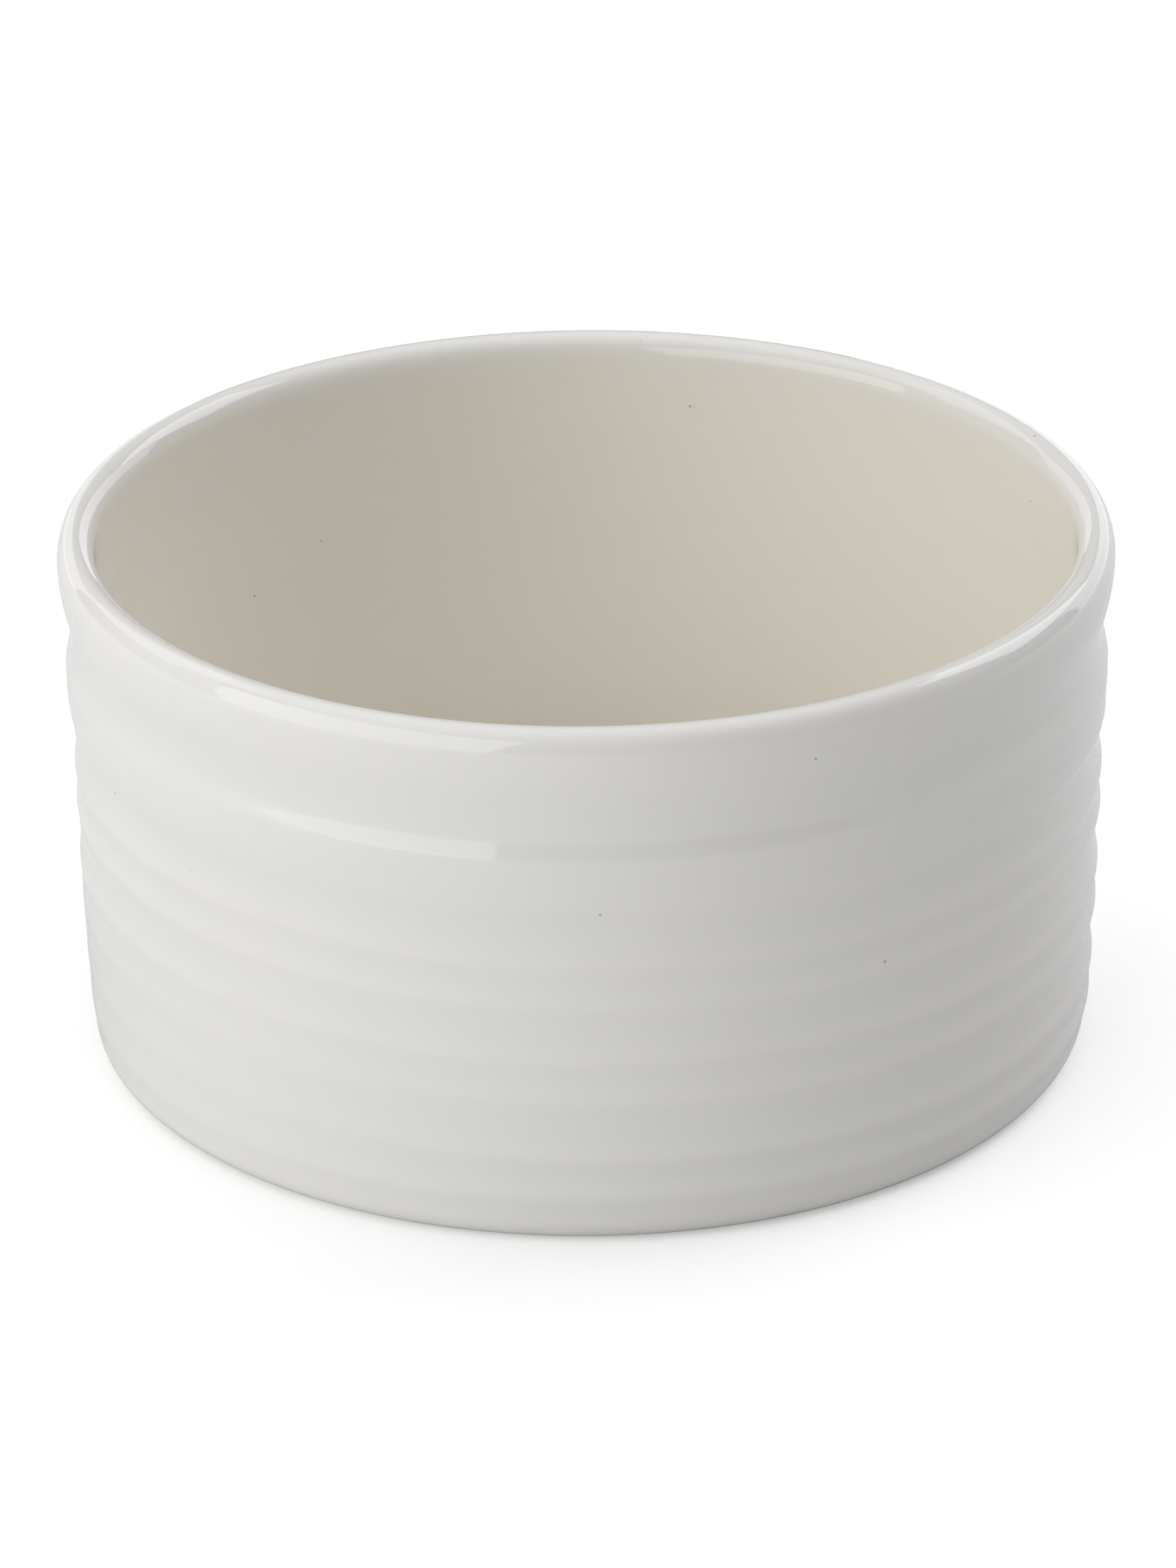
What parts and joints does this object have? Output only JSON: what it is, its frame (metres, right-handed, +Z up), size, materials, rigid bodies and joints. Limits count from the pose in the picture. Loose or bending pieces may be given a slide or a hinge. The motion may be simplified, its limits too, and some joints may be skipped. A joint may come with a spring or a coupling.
{
  "type": "shaving bowl",
  "caption": "Round glazed porcelain shaving bowl: rounded lip, softly rippled outer wall, plain inside, flat foot ring. Holds soap or cream while a brush whips up lather.",
  "frame": {"origin": "centre of the foot ring, on the bowl's axis, in the plane it rests on", "axes": "+Z up along the bowl's axis, out of its mouth; +X and +Y are equal, because the bowl is round"},
  "size_m": [0.096, 0.096, 0.05],
  "materials": {
    "glaze": "white transparent glaze over porcelain, glossy, unglazed only where the foot ring stands"
  },
  "bodies": {
    "root": {"bowl": "glaze"}
  },
  "joints": []
}
